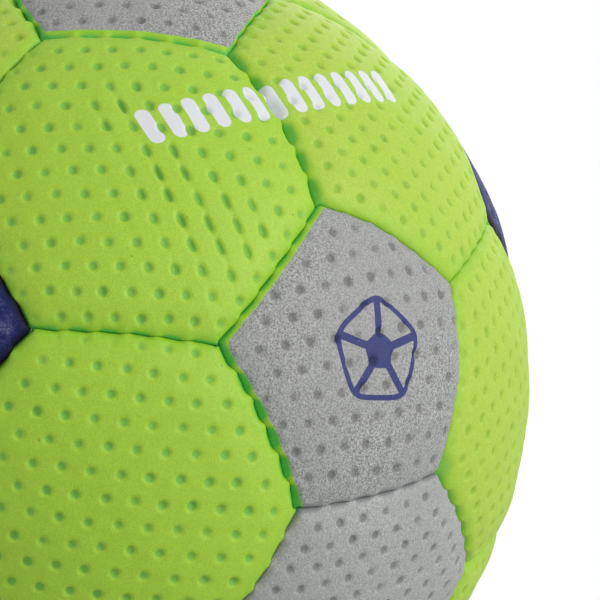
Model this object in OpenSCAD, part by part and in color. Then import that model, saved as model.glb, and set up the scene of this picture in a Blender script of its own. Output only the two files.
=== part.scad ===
// Hand-sewn ball: thirty-two padded panels, sewn edge to edge round an air bladder.
// The origin is the ball's centre. The front pentagon faces -Y, the valve faces +Y and +Z is up.
// A panel's own frame has +Z outwards through its middle and +X towards the middle of one side.

/* [Ball] */
// Diameter of the pumped-up ball over the middles of two opposite panels
ball_d = 175; // [160:0.5:192]
// Turn of the panel pattern about the front-to-back axis, in degrees
pattern_turn = -12.6; // [-36:0.1:36]

/* [Cover] */
// Thickness of a panel's foam-backed skin
cover_t = 4; // [3.4:0.1:6]
// Height of a panel's middle above the level of its sides
crown_h = 0.4; // [0.2:0.05:1.2]
// Radius of the rolled edge beside a seam
roll_r = 3.5; // [2:0.1:4]
// Gap between the sewn edges of two panels
seam_gap = 0.2; // [0.1:0.05:0.5]
// Thickness of the edge that is turned in to be sewn
hem_t = 1.4; // [1:0.1:1.8]
// Depth of the turned-in edge below the line of stitches
hem_margin = 1; // [0.7:0.1:1.6]

/* [Lining] */
// Thickness of the cloth lining glued behind a panel
lining_t = 1.2; // [0.6:0.1:2]
// Room left for glue round a lining
glue_gap = 0.05; // [0.02:0.01:0.1]

/* [Stitching] */
// Stitches along one side of a panel
stitches = 6; // [4:1:7]
// Width of the flat waxed strand that lies along the inside of a turned-in edge
strand_w = 0.9; // [0.75:0.05:1.2]
// Thickness of the flat strand
strand_t = 0.5; // [0.3:0.05:0.8]
// Thickness of the thread pulled through a hole
stitch_d = 0.5; // [0.35:0.05:0.55]
// Diameter of a stitch hole
stitch_hole_d = 0.7; // [0.6:0.05:0.9]
// Room between the strands and what lies beside them
strand_gap = 0.1; // [0.05:0.05:0.3]
// Length of strand past the last stitch of a seam
strand_end = 0.4; // [0.3:0.05:0.6]

/* [Bladder] */
// Thickness of the bladder's wall
bladder_t = 1.2; // [0.8:0.1:2]
// Room between the bladder and the turned-in edges
bladder_gap = 0.1; // [0.05:0.05:0.3]
// Radius of the patch that stiffens the bladder round the valve
patch_r = 12; // [9:0.5:16]
// Thickness of the patch
patch_t = 1.15; // [0.8:0.05:2]

/* [Valve housing] */
// Radius of the flange that is bonded to the bladder
flange_r = 14; // [10:0.5:17]
// Thickness of the flange
flange_t = 1.15; // [0.8:0.05:1.2]
// Radius of the boss that fills the hole in the valve panel
boss_r = 4.2; // [4:0.1:6]
// Radius that rounds the boss's rim
boss_rim_r = 0.6; // [0.3:0.1:0.9]
// How far the boss lies below the panel's face
boss_set = 0.5; // [0.2:0.1:1.5]
// Radius of the nose that reaches into the bladder
nose_r = 3.6; // [3.4:0.1:5]
// Length of the housing from the top of its boss to the tip of its nose
housing_l = 21; // [18:0.5:30]
// Length of the closed end of the nose, which holds the slit
nose_end = 4; // [2.5:0.5:8]
// Width of the self-closing slit
slit_w = 0.3; // [0.2:0.05:0.6]
// Length across of the slit
slit_l = 3; // [2:0.25:4]

/* [Valve plug] */
// Radius of the plug's head
head_r = 3; // [2.6:0.1:3.6]
// Thickness of the plug's head
head_t = 1.3; // [0.8:0.1:1.8]
// Radius that rounds the head's rim
head_rim_r = 0.4; // [0.2:0.05:0.6]
// Radius of the plug's stem
stem_r = 2.05; // [1.7:0.05:2.4]
// Clearance round the plug's stem and head
plug_gap = 0.05; // [0.03:0.01:0.1]
// Radius of the channel for an inflating needle
needle_r = 1.1; // [0.9:0.05:1.2]
// Radius of the funnel's mouth
funnel_r = 1.9; // [1.4:0.05:2.2]
// Depth of the funnel that leads the needle in
funnel_h = 1; // [0.5:0.1:1.5]
// Clearance of the valve's holes through the cover, lining, bladder and patch
hole_gap = 0.15; // [0.1:0.05:0.4]

/* [Colours] */
// Colour of the lime panels
lime = "#93c236";
// Colour of the grey panels
grey = "#a3a6a8";
// Colour of the navy panels
navy = "#2b3678";
// Colour of the sewing thread
thread_colour = "#e8e4d6";
// Colour of the lining cloth
lining_colour = "#efece2";
// Colour of the bladder and its patch
bladder_colour = "#c9a26b";
// Colour of the valve's rubber
valve_colour = "#22252c";

/* [Hidden] */
$fn = 128;
// Overrun of every cut past the face that it opens
over = 1;
// Angle at which a rolled edge meets the faces beside it
roll_ease = 20;
// Turn of the cutter that rolls one edge, wider than any side
roll_sweep = 40;

ball_r = ball_d / 2;
cover_in_r = ball_r - cover_t;
lining_out_r = cover_in_r - glue_gap;
lining_in_r = lining_out_r - lining_t;
stitch_line_r = lining_in_r - strand_gap - strand_w / 2;
hem_in_r = stitch_line_r - hem_margin;
bladder_out_r = hem_in_r - bladder_gap;
bladder_in_r = bladder_out_r - bladder_t;
hem_inset = seam_gap / 2 + hem_t;
strand_x = hem_inset + strand_gap;

// A panel pattern of twelve pentagons and twenty hexagons with all sides alike.
// For sides of one unit, the corners lie this far from the ball's centre.
golden_share = (1 + sqrt(5)) / 2;
corner_share = sqrt(9 * golden_share + 10) / 2;
// Angle that one side spans, seen from the ball's centre
side_arc = 2 * asin(0.5 / corner_share);
stitch_step = side_arc / stitches;
// Distance of a panel's corners from its middle, for a side of one unit
function corner_reach_share(n) = 0.5 / sin(180 / n);
// Angle from a panel's middle to the middle of a side
function side_angle(n) = let(
    reach = corner_reach_share(n),
    face_height = sqrt(pow(corner_share, 2) - pow(reach, 2))
) atan(reach * cos(180 / n) / face_height);

function unit(v) = v / norm(v);
function across(v, axis) = unit(v - (v * axis) * axis);
// Direction at an angle towards the back and a turn from up towards the right
function heading(back, turn) = [cos(back) * sin(turn), sin(back), cos(back) * cos(turn)];

// Pentagons: one in front, five round it, five round the last one, and one at the back.
ring_back = atan(0.5);
ring_step = 72;
front_ring = [for (i = [0:4]) heading(-ring_back, pattern_turn + ring_step * i)];
back_ring = [for (i = [0:4]) heading(ring_back, pattern_turn + ring_step * (i + 0.5))];
pentagon_axes = concat([[0, -1, 0]], front_ring, back_ring, [[0, 1, 0]]);
valve_pentagon = 11;

// Each hexagon lies between three pentagons.
function next(i) = (i + 1) % 5;
hexagon_trios = concat(
    [for (i = [0:4]) [0, 1 + i, 1 + next(i)]],
    [for (i = [0:4]) [6 + i, 1 + i, 1 + next(i)]],
    [for (i = [0:4]) [1 + next(i), 6 + i, 6 + next(i)]],
    [for (i = [0:4]) [valve_pentagon, 6 + i, 6 + next(i)]]
);

// Two pentagons are neighbours when the angle between them is the smallest there is.
neighbour_cos_share = sin(ring_back);
rounding_share = 0.001;
function neighbours(a, b) = abs(pentagon_axes[a] * pentagon_axes[b] - neighbour_cos_share) < rounding_share;
// Each seam between two hexagons runs from one pentagon towards its neighbour.
hexagon_seams = [for (a = [0:11]) for (b = [a + 1:1:11]) if (neighbours(a, b)) [a, b]];

grey_pentagons = [0, 1, 4, 7, 9];
lime_pentagon = 3;
grey_hexagon = 2;
navy_hexagon = 19;
function pentagon_colour(i) = i == lime_pentagon ? lime : len(search(i, grey_pentagons)) > 0 ? grey : navy;
function hexagon_colour(i) = i == grey_hexagon ? grey : i == navy_hexagon ? navy : lime;

function two_digits(i) = i < 9 ? str("0", i + 1) : str(i + 1);
function pentagon_panel_name(i) = str("pentagon_panel_", two_digits(i));
function hexagon_panel_name(i) = str("hexagon_panel_", two_digits(i));
function hexagon_lining_name(i) = str("hexagon_lining_", two_digits(i));

// Places a shape drawn round its own +Z axis so that this axis points along z and its +X along x
module stand(x, z) {
    y = cross(z, x);
    multmatrix([
        [x[0], y[0], z[0], 0],
        [x[1], y[1], z[1], 0],
        [x[2], y[2], z[2], 0],
        [0, 0, 0, 1]
    ]) children();
}

module on_pentagon(i) {
    z = pentagon_axes[i];
    corner_towards = [for (j = [0:11]) if (neighbours(i, j)) pentagon_axes[j]][0];
    stand(-across(corner_towards, z), z) children();
}

module on_hexagon(i) {
    trio = hexagon_trios[i];
    z = unit(pentagon_axes[trio[0]] + pentagon_axes[trio[1]] + pentagon_axes[trio[2]]);
    stand(across(pentagon_axes[trio[0]], z), z) children();
}

module on_valve() {
    rotate([-90, 0, 0]) children();
}

// The frame of one side of an n-sided panel: +Z through the side's middle, +X out across the seam
module at_side(n, k) {
    rotate([0, 0, k * 360 / n]) rotate([0, side_angle(n), 0]) children();
}

// A full sphere whose poles lie off to the side of a panel
module globe(r) {
    rotate([90, 0, 0]) sphere(r = r);
}

// Everything beyond the sides of an n-sided panel, from inset inside them
module beyond_sides(n, inset) {
    for (k = [0:n - 1]) {
        at_side(n, k) translate([-inset, -ball_d, -ball_d]) cube(2 * ball_d);
    }
}

// A panel's face is a sphere a little smaller than the ball, so that its middle stands proud.
function crown_r(n) = let(
    half = ball_r * sin(side_angle(n)),
    rise = ball_r * (1 - cos(side_angle(n))) + crown_h
) (pow(half, 2) + pow(rise, 2)) / (2 * rise);
// Distance from the ball's centre to the middle of a panel's side, before it is rolled
function edge_r(n) = norm([ball_r * sin(side_angle(n)), ball_r * cos(side_angle(n)) - crown_h]);

// What is cut away along one side to leave a rolled edge
module roll_cutter(n) {
    centre_r = edge_r(n) - roll_r * cos(roll_ease);
    centre_in = seam_gap / 2 + roll_r * cos(roll_ease);
    rotate([0, 90, 0]) rotate([0, 0, 180 - roll_sweep / 2])
        rotate_extrude(angle = roll_sweep) translate([centre_r, -centre_in]) difference() {
            square([roll_r + over, centre_in + over]);
            circle(r = roll_r);
        }
}

module each_stitch() {
    for (i = [0:stitches - 1]) {
        rotate([(i - (stitches - 1) / 2) * stitch_step, 0, 0]) translate([0, 0, stitch_line_r])
            rotate([0, 90, 0]) children();
    }
}

// One panel of the cover: a crowned skin with rolled edges turned in and pierced for the thread
module panel(n) {
    difference() {
        translate([0, 0, ball_r - crown_r(n)]) globe(crown_r(n));
        beyond_sides(n, seam_gap / 2);
        difference() {
            globe(cover_in_r);
            beyond_sides(n, hem_inset);
        }
        globe(hem_in_r);
        for (k = [0:n - 1]) {
            at_side(n, k) {
                roll_cutter(n);
                each_stitch() cylinder(d = stitch_hole_d, h = 2 * (hem_inset + strand_gap), center = true);
            }
        }
    }
}

// The cloth glued into the hollow of a panel
module lining(n) {
    difference() {
        globe(lining_out_r);
        globe(lining_in_r);
        beyond_sides(n, hem_inset + glue_gap);
    }
}

module pentagon_panel(i) {
    color(pentagon_colour(i)) difference() {
        on_pentagon(i) panel(5);
        if (i == valve_pentagon) {
            on_valve() cylinder(r = boss_r + hole_gap, h = ball_r + over);
        }
    }
}

module hexagon_panel(i) {
    color(hexagon_colour(i)) on_hexagon(i) panel(6);
}

module hexagon_lining(i) {
    color(lining_colour) on_hexagon(i) lining(6);
}

module pentagon_linings() {
    color(lining_colour) for (i = [0:11]) {
        difference() {
            on_pentagon(i) lining(5);
            if (i == valve_pentagon) {
                on_valve() cylinder(r = boss_r + hole_gap, h = ball_r + over);
            }
        }
    }
}

// The thread of one seam: a flat strand inside each turned-in edge, joined through the stitch holes
module seam_thread() {
    sweep = (stitches - 1) * stitch_step + 2 * strand_end / stitch_line_r * 180 / PI;
    for (low_x = [-strand_x - strand_t, strand_x]) {
        rotate([0, 90, 0]) rotate([0, 0, 180 - sweep / 2]) rotate_extrude(angle = sweep)
            translate([stitch_line_r - strand_w / 2, low_x]) square([strand_w, strand_t]);
    }
    each_stitch() cylinder(d = stitch_d, h = 2 * strand_x + strand_t, center = true);
}

module pentagon_seam_threads() {
    color(thread_colour) for (i = [0:11]) {
        for (k = [0:4]) {
            on_pentagon(i) at_side(5, k) seam_thread();
        }
    }
}

module hexagon_seam_threads() {
    color(thread_colour) for (pair = hexagon_seams) {
        middle = unit(pentagon_axes[pair[0]] + pentagon_axes[pair[1]]);
        stand(cross(across(pentagon_axes[pair[1]], middle), middle), middle) seam_thread();
    }
}

module bladder() {
    color(bladder_colour) difference() {
        sphere(r = bladder_out_r);
        sphere(r = bladder_in_r);
        on_valve() cylinder(r = nose_r + hole_gap, h = ball_r);
    }
}

// A round disc that follows the bladder, from one distance from the centre to another
module curved_disc(inner, outer, reach) {
    intersection() {
        difference() {
            globe(outer);
            globe(inner);
        }
        cylinder(r = reach, h = ball_r);
    }
}

module valve_patch() {
    patch_out_r = bladder_in_r - glue_gap;
    color(bladder_colour) on_valve() difference() {
        curved_disc(patch_out_r - patch_t, patch_out_r, patch_r);
        cylinder(r = nose_r + hole_gap, h = ball_r);
    }
}

// A round post that stands on z = 0, with its top rim rounded
module rounded_post(r, h, rim_r) {
    rotate_extrude() union() {
        square([r, h - rim_r]);
        square([r - rim_r, h]);
        translate([r - rim_r, h - rim_r]) circle(r = rim_r);
    }
}

valve_top = ball_r - boss_set;
nose_tip = valve_top - housing_l;
recess_floor = valve_top - head_t - plug_gap;
plug_bottom = nose_tip + nose_end + plug_gap;

// The rubber housing: a flange on the bladder, a boss through the cover and a nose with a slit
module valve_housing() {
    flange_in_r = bladder_out_r + glue_gap;
    flange_out_r = flange_in_r + flange_t;
    color(valve_colour) on_valve() difference() {
        union() {
            curved_disc(flange_in_r, flange_out_r, flange_r);
            translate([0, 0, flange_in_r]) rounded_post(boss_r, valve_top - flange_in_r, boss_rim_r);
            translate([0, 0, nose_tip]) cylinder(r = nose_r, h = flange_out_r - nose_tip);
        }
        translate([0, 0, recess_floor]) cylinder(r = head_r + plug_gap, h = ball_r);
        translate([0, 0, nose_tip + nose_end]) cylinder(r = stem_r + plug_gap, h = ball_r);
        translate([-slit_l / 2, -slit_w / 2, nose_tip - over]) cube([slit_l, slit_w, nose_end + 2 * over]);
    }
}

// The plug that seals the housing and lets a needle through
module valve_plug() {
    head_floor = valve_top - head_t;
    color(valve_colour) on_valve() difference() {
        union() {
            translate([0, 0, head_floor]) rounded_post(head_r, head_t, head_rim_r);
            translate([0, 0, plug_bottom]) cylinder(r = stem_r, h = head_floor + head_t / 2 - plug_bottom);
        }
        translate([0, 0, plug_bottom - over]) cylinder(r = needle_r, h = ball_r);
        translate([0, 0, valve_top - funnel_h])
            cylinder(r1 = needle_r, r2 = funnel_r, h = funnel_h);
    }
}

for (i = [0:11]) {
    pentagon_panel(i);
}
for (i = [0:19]) {
    hexagon_panel(i);
    hexagon_lining(i);
}
pentagon_linings();
pentagon_seam_threads();
hexagon_seam_threads();
bladder();
valve_patch();
valve_housing();
valve_plug();
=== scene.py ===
"""Looks of a hand-sewn ball: padded panels with rolled edges and dimples, and a rubber valve."""

import math

import bmesh
import bpy
import numpy as np
from mathutils import Matrix, Vector


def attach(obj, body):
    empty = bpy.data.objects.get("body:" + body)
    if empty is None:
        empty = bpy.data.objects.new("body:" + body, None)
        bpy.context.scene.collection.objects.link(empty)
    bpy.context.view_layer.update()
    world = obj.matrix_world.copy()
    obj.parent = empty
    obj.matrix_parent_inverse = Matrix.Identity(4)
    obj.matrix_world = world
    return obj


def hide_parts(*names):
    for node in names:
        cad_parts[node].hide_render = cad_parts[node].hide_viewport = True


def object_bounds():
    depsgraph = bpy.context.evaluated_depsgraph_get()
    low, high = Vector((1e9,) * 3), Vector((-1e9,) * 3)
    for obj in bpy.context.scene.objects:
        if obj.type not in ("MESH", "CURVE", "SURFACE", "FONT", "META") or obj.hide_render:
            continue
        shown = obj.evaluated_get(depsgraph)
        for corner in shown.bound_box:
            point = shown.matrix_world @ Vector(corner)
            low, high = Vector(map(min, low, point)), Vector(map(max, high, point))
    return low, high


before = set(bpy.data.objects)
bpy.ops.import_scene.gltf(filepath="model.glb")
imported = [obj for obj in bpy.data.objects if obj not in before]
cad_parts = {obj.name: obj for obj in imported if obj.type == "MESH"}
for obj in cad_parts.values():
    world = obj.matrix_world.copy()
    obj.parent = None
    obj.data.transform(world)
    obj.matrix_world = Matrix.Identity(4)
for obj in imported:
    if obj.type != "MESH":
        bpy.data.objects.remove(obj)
cad_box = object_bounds()

# Sizes in millimetres: the part's own, but for a slightly fuller crown and a slightly deeper hem
MM = 0.001
BALL_R = 87.5
CROWN_H = 0.6
COVER_T = 4.0
SEAM_GAP = 0.2
HEM_T = 1.4
HEM_DEPTH = 6.9
STITCHES = 6
VALVE_HOLE_R = 4.35

# The face is drawn down round the valve hole
VALVE_RIM_REACH = 1.6
VALVE_RIM_FALL = 1.1

# The tool that cuts the valve hole: its length, and how far its middle is from the ball's centre
PUNCH_L = 12
PUNCH_PLACE = 85

ROUND_SEGMENTS = 96

# The padding falls away towards the seam, and the edge is rolled in, with rounded corners
PILLOW_REACH = 9.0
PILLOW_FALL = 1.0
ROLL_REACH = 2.4
CORNER_R = 1.8
CORNER_FALL = 1.4

# How near a corner two sides share what each of them has
CORNER_BLEND = 1.5

# Stitches pinch the edges together; in between the seam is deeper and gapes, and each gap slants
PINCHED_DEPTH = 0.7
GAPING_DEPTH = 1.6
PINCHED_GAP = 0.01
GAPING_GAP = 0.03
SEAM_GAPE = 0.3
STITCH_SLANT = 0.45
SLANT_POWER = 1.5
BULGE = 27 / 4  # makes level * (1 - level) ** 2 reach 1 at its highest
SEAM_WANDER = 0.2

# Over which share of the way to the next stitch the pinch and the upright part of a gap fade out
PINCH_FADE = 0.17
SLANT_FADE = 0.13

# What a seam that doesn't gape keeps of its depth and of the shade painted into it
SHUT_SHARE = 0.35

# Waves of uneven fields along the seams: their length in mm and a seed
STITCH_WAVES = (9, 3)
STITCH_UNEVENNESS = 0.3
GAPE_WAVES = (70, 8)
GAPE_MEAN = 0.95
GAPE_SWING = 0.4
GAPE_LIMITS = (0.4, 1.3)
WANDER_WAVE = 16
WANDER_SEED = 4

# Waves over a face: their height in mm or as a share, their length in mm, and a step to the panel's seed
FACE_WAVES = ((0.10, 14, 0), (0.04, 5, 50))
DIMPLE_WAVES = (0.22, 11, 100)

# Where the painted shade of a seam starts, from 0 on the face to 1 in the slit, and how far it blurs
SLIT_LEVEL = 0.42
SLIT_BLUR = 0.16
SLIT_WIDEST = 1.1
PINCHED_SLIT = 0.15
OUTLINE_BLUR = 0.5

# From where to where, in mm from the seam, the painted shade on a rolled edge fades
EDGE_SHADE_BAND = (0.8, 3.4)

# How wide some seams gape, as a share of the usual
OPENNESS = {
    ("hexagon_panel_01", "hexagon_panel_05"): 1.15,
    ("hexagon_panel_04", "pentagon_panel_01"): 1.1,
    ("hexagon_panel_05", "pentagon_panel_01"): 0.6,
    ("hexagon_panel_04", "hexagon_panel_05"): 0.55,
    ("hexagon_panel_05", "pentagon_panel_02"): 0.6,
    ("hexagon_panel_05", "hexagon_panel_10"): 0.4,
    ("hexagon_panel_01", "pentagon_panel_02"): 0.5,
    ("hexagon_panel_05", "pentagon_panel_06"): 0.6,
    ("hexagon_panel_04", "pentagon_panel_06"): 0.6,
    ("hexagon_panel_03", "hexagon_panel_04"): 0.5,
    ("hexagon_panel_01", "pentagon_panel_01"): 0.15,
    ("hexagon_panel_01", "hexagon_panel_02"): 0.25,
    ("hexagon_panel_02", "pentagon_panel_01"): 0.3,
    ("hexagon_panel_03", "pentagon_panel_01"): 0.25,
    ("hexagon_panel_02", "hexagon_panel_03"): 0.7,
}

# A ball sewn by hand: corners and seam middles of the pattern, and how many mm each is off its place
DRIFT_REACH = 14.0
DRIFTS = (
    ((-0.3418, -0.9392, 0.0323), (-0.3, 0.1, -0.25)),
    ((-0.0749, -0.9392, 0.335), (-0.19, -0.1, -0.33)),
    ((-0.1363, -0.9392, -0.315), (0.2, 0.17, -0.6)),
    ((0.2575, -0.9392, -0.227), (0.22, 0.3, -0.98)),
    ((-0.6835, -0.7271, 0.0646), (0.37, -0.35, -0.02)),
    ((0.2955, -0.9392, 0.1747), (0.65, 0.25, 0.26)),
    ((0.5909, -0.7271, 0.3495), (0.16, -0.33, -0.96)),
    ((-0.1498, -0.7271, 0.67), (0.4, 0.33, 0.45)),
    ((-0.4915, -0.5149, 0.7023), (0.08, 0.25, 0.23)),
    ((0.515, -0.7271, -0.454), (0.24, -0.13, 0.48)),
    ((-0.3274, -0.6341, 0.7006), (0.32, 0.58, 0.67)),
    ((-0.6047, -0.5251, 0.5989), (0.33, 0.82, 1.05)),
    ((-0.1147, -0.8507, 0.5131), (1.62, 0.19, 0.67)),
    ((-0.2127, -0.9589, 0.1875), (0.53, -0.17, -0.25)),
    ((-0.2441, -0.959, -0.1443), (0.76, -0.27, 0.51)),
    ((0.0672, -0.9578, 0.2795), (1.13, 0.42, 1.17)),
    ((0.2823, -0.959, -0.0267), (1.75, 0.52, 0.06)),
    ((0.0619, -0.959, -0.2767), (0.33, 0.25, -0.81)),
    ((-0.2088, -0.8507, -0.4825), (1.77, -0.08, -0.63)),
    ((0.3944, -0.8507, -0.3477), (0.87, 0.32, 0.2)),
)

# Dimples fade out between two distances from the seam, and vary in place and depth
DIMPLE_R = 0.95
DIMPLE_DEPTH = 0.55
DIMPLE_EDGE = (0.5, 3.0)
DIMPLE_STEEPNESS = 1.9
DIMPLE_SCATTER = 0.35
DEPTH_SCATTER = 0.3

# Dimples stand on a lattice: its two steps and the place of one dimple
LATTICES = {
    "hexagon_panel_01": ((4.45, -2.83), (-0.11, 5.48), (1.39, 1.82)),
    "hexagon_panel_02": ((4.30, -2.84), (0.13, 5.52), (4.20, 1.99)),
    "hexagon_panel_03": ((4.16, -2.86), (0.06, 5.66), (3.12, -2.01)),
    "hexagon_panel_04": ((4.52, -2.86), (-0.01, 5.63), (4.17, -0.67)),
    "hexagon_panel_05": ((4.30, -2.75), (0.03, 5.60), (4.00, 1.38)),
    "pentagon_panel_01": ((4.74, -3.01), (0.46, 5.30), (0.31, 0.64)),
    "pentagon_panel_02": ((5.17, -0.66), (-2.14, 5.19), (0.37, 4.75)),
}

# Where the padding is squeezed, dimples are drawn out and joined by creases: x, y and radius
SQUEEZED = {"hexagon_panel_05": ((19.0, -1.0, 9.5), (6.0, 3.0, 7.0), (-9.0, 9.0, 5.0))}
SQUEEZED_LENGTH = 0.9
SQUEEZED_NARROWING = 0.4
SQUEEZED_DEPTH = 0.25
# A squeezed spot also deepens its dimples' tone, partly their own and partly painted shade
SQUEEZED_TONE_AND_SHADE = 0.6
CREASE_HALF_W = 0.5
CREASE_DEPTH = 0.16

# What chance gives a panel that has no lattice of its own: the slope of the first step in degrees, the
# steps' lengths and the place of a dimple, and sometimes a squeezed spot
CHANCE_SLOPE = (-33, -27)
CHANCE_STEPS = ((5.0, 5.5), (5.4, 5.8))
CHANCE_PLACE = (-3, 3)
STEPS_ANGLE = 2.11
SPOT_CHANCE = 0.4
CHANCE_SPOT = (-14, 14)
CHANCE_SPOT_R = (5, 9)

# Where one panel is fuller or flatter than its neighbours: the place, the rise and the reach in mm
FULLNESS_PLACES = {
    "right": (0.5651, -0.634, 0.5279),
    "low": (0.6766, -0.634, -0.3744),
    "front": (0.2823, -0.959, -0.0267),
}
FULLNESS = {
    "hexagon_panel_01": ("right", 0.9, 13.0),
    "pentagon_panel_03": ("right", -0.5, 13.0),
    "hexagon_panel_02": ("low", 0.5, 12.0),
    "pentagon_panel_01": ("front", 0.9, 12.0),
    "pentagon_panel_04": ("low", 0.3, 12.0),
}
FULLNESS_EDGE = (0, 2.5)

# Where a corner is drawn down into a pocket, which is also painted in shade: the place, the reach and the
# depth in mm
POCKETS = {"hexagon_panel_02": ((0.2575, -0.9392, -0.227), 4.0, 1.3)}
POCKET_POWER = 1.5
# How much painted shade a pocket takes
POCKET_SHADE = 1.2

# How much further round their rolled edges some panels stay free of the painted seam shade, as those edges
# face the light, on all sides or on one
SHADE_FREE_EDGE = {"hexagon_panel_05": 0.2, "hexagon_panel_04": 0.2, "pentagon_panel_04": 0.4}
SHADE_FREE_SEAMS = {
    ("hexagon_panel_05", "hexagon_panel_04"): -0.06,
    ("hexagon_panel_03", "pentagon_panel_01"): -0.22,
    ("pentagon_panel_01", "hexagon_panel_03"): -0.22,
}

# A coloured coat stops short of the seam, except towards a panel of its own colour
COAT_INSET = 1.2
COAT_OVERLAP = -2.0
COAT_CORNER_R = 1.5
UNCOATED = -5.0
COAT_INSETS = {
    ("pentagon_panel_01", "hexagon_panel_05"): 1.45,
    ("pentagon_panel_02", "hexagon_panel_05"): 1.6,
    ("pentagon_panel_02", "hexagon_panel_01"): 0.8,
    ("pentagon_panel_02", "hexagon_panel_10"): 1.1,
    ("pentagon_panel_06", "hexagon_panel_04"): 0.15,
    ("pentagon_panel_06", "hexagon_panel_05"): 0.15,
    ("pentagon_panel_01", "hexagon_panel_01"): 0.5,
    ("pentagon_panel_01", "hexagon_panel_04"): 1.3,
    ("pentagon_panel_01", "hexagon_panel_02"): 0.1,
    ("hexagon_panel_03", "hexagon_panel_02"): 0.4,
    ("hexagon_panel_03", "hexagon_panel_04"): -0.2,
}

# How yellow the lime is, from 0 to 1: each panel is cut from another part of the sheet; the same share
# paints light, lightening a grey coat and the shade painted into the seams
YELLOWNESS_AND_LIGHT = {
    "hexagon_panel_01": 0.8,
    "hexagon_panel_02": 1.0,
    "hexagon_panel_03": 0.9,
    "hexagon_panel_04": 0.0,
    "hexagon_panel_05": 0.1,
    "pentagon_panel_01": 0.1,
    "pentagon_panel_02": 0.1,
    "pentagon_panel_04": 0.9,
}

# Rows of small triangles from the middle of a hexagon to a side, and the cells from the middle to the
# border of the grid that the panels are cut from
MESH_ROWS = 81
GRID_REACH = 132

# Other pentagons are navy, and other hexagons are lime
PENTAGON_KINDS = {0: "grey", 1: "grey", 3: "lime", 4: "grey", 7: "grey", 9: "grey"}
HEXAGON_KINDS = {2: "grey", 19: "navy"}
VALVE_PENTAGON = 11
VALVE_PANEL = f"pentagon_panel_{VALVE_PENTAGON + 1}"
FIRST_SEED = 11

# The panel pattern: twelve pentagons and twenty hexagons with all sides alike
PATTERN_TURN = math.radians(-12.6)
RING_STEP = math.radians(72)
RING_BACK = math.atan(0.5)
GOLDEN = (1 + math.sqrt(5)) / 2
CORNER_SHARE = math.sqrt(9 * GOLDEN + 10) / 2
SIDE_ARC = 2 * math.asin(0.5 / CORNER_SHARE)


def side_angle(sides):
    """The angle from a panel's middle to the middle of a side."""
    reach = 0.5 / math.sin(math.pi / sides)
    return math.atan(reach * math.cos(math.pi / sides) / math.sqrt(CORNER_SHARE**2 - reach**2))


def unit(v):
    return v / np.linalg.norm(v, axis=-1, keepdims=True)


def heading(back, turn):
    """The direction that leans back towards +Y by one angle, and is turned about Y by the other."""
    return np.array([math.cos(back) * math.sin(turn), math.sin(back), math.cos(back) * math.cos(turn)])


def pentagon_axes():
    """The directions of the pentagons' middles: the front one, two rings of five and the valve's."""
    front = [heading(-RING_BACK, PATTERN_TURN + RING_STEP * i) for i in range(5)]
    back = [heading(RING_BACK, PATTERN_TURN + RING_STEP * (i + 0.5)) for i in range(5)]
    return [np.array([0.0, -1, 0]), *front, *back, np.array([0.0, 1, 0])]


def hexagon_trios():
    """The three pentagons round each hexagon."""
    turns = [(i, (i + 1) % 5) for i in range(5)]
    return (
        [(0, 1 + i, 1 + j) for i, j in turns]
        + [(6 + i, 1 + i, 1 + j) for i, j in turns]
        + [(1 + j, 6 + i, 6 + j) for i, j in turns]
        + [(VALVE_PENTAGON, 6 + i, 6 + j) for i, j in turns]
    )


def stand(x_towards, z):
    """The turn, as columns x, y and z, that puts a panel's middle on z with a side towards x."""
    x = unit(x_towards - (x_towards @ z) * z)
    return np.stack([x, np.cross(z, x), z], axis=1)


AXES = pentagon_axes()


def pentagon_turn(i):
    """A pentagon's turn: the next pentagon lies beyond a corner, so a side lies the other way."""
    z = AXES[i]
    corner = next(a for a in AXES if abs(a @ z - math.sin(RING_BACK)) < 0.001)
    return stand(-corner, z)


def hexagon_turn(i):
    """A hexagon's turn: its first pentagon lies beyond a side."""
    trio = [AXES[k] for k in hexagon_trios()[i]]
    return stand(trio[0], unit(sum(trio)))


def apothem(sides):
    """Half the width of a flat panel, side to side."""
    return BALL_R * side_angle(sides)


MESH_STEP = apothem(6) / (math.sin(math.pi / 3) * MESH_ROWS)

# Below the face, a panel's edge runs down to the end of the hem, round it, up and across the back.
# Each ring is the share of the flat panel's width that it has, less an inset, and its depth.
RINGS = (
    (1, SEAM_GAP / 2, HEM_DEPTH),
    (1, SEAM_GAP / 2 + HEM_T, HEM_DEPTH),
    (1, SEAM_GAP / 2 + HEM_T, COVER_T),
    (0.66, 0, COVER_T),
    (0.33, 0, COVER_T),
    (0, 0, COVER_T),
)


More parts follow.
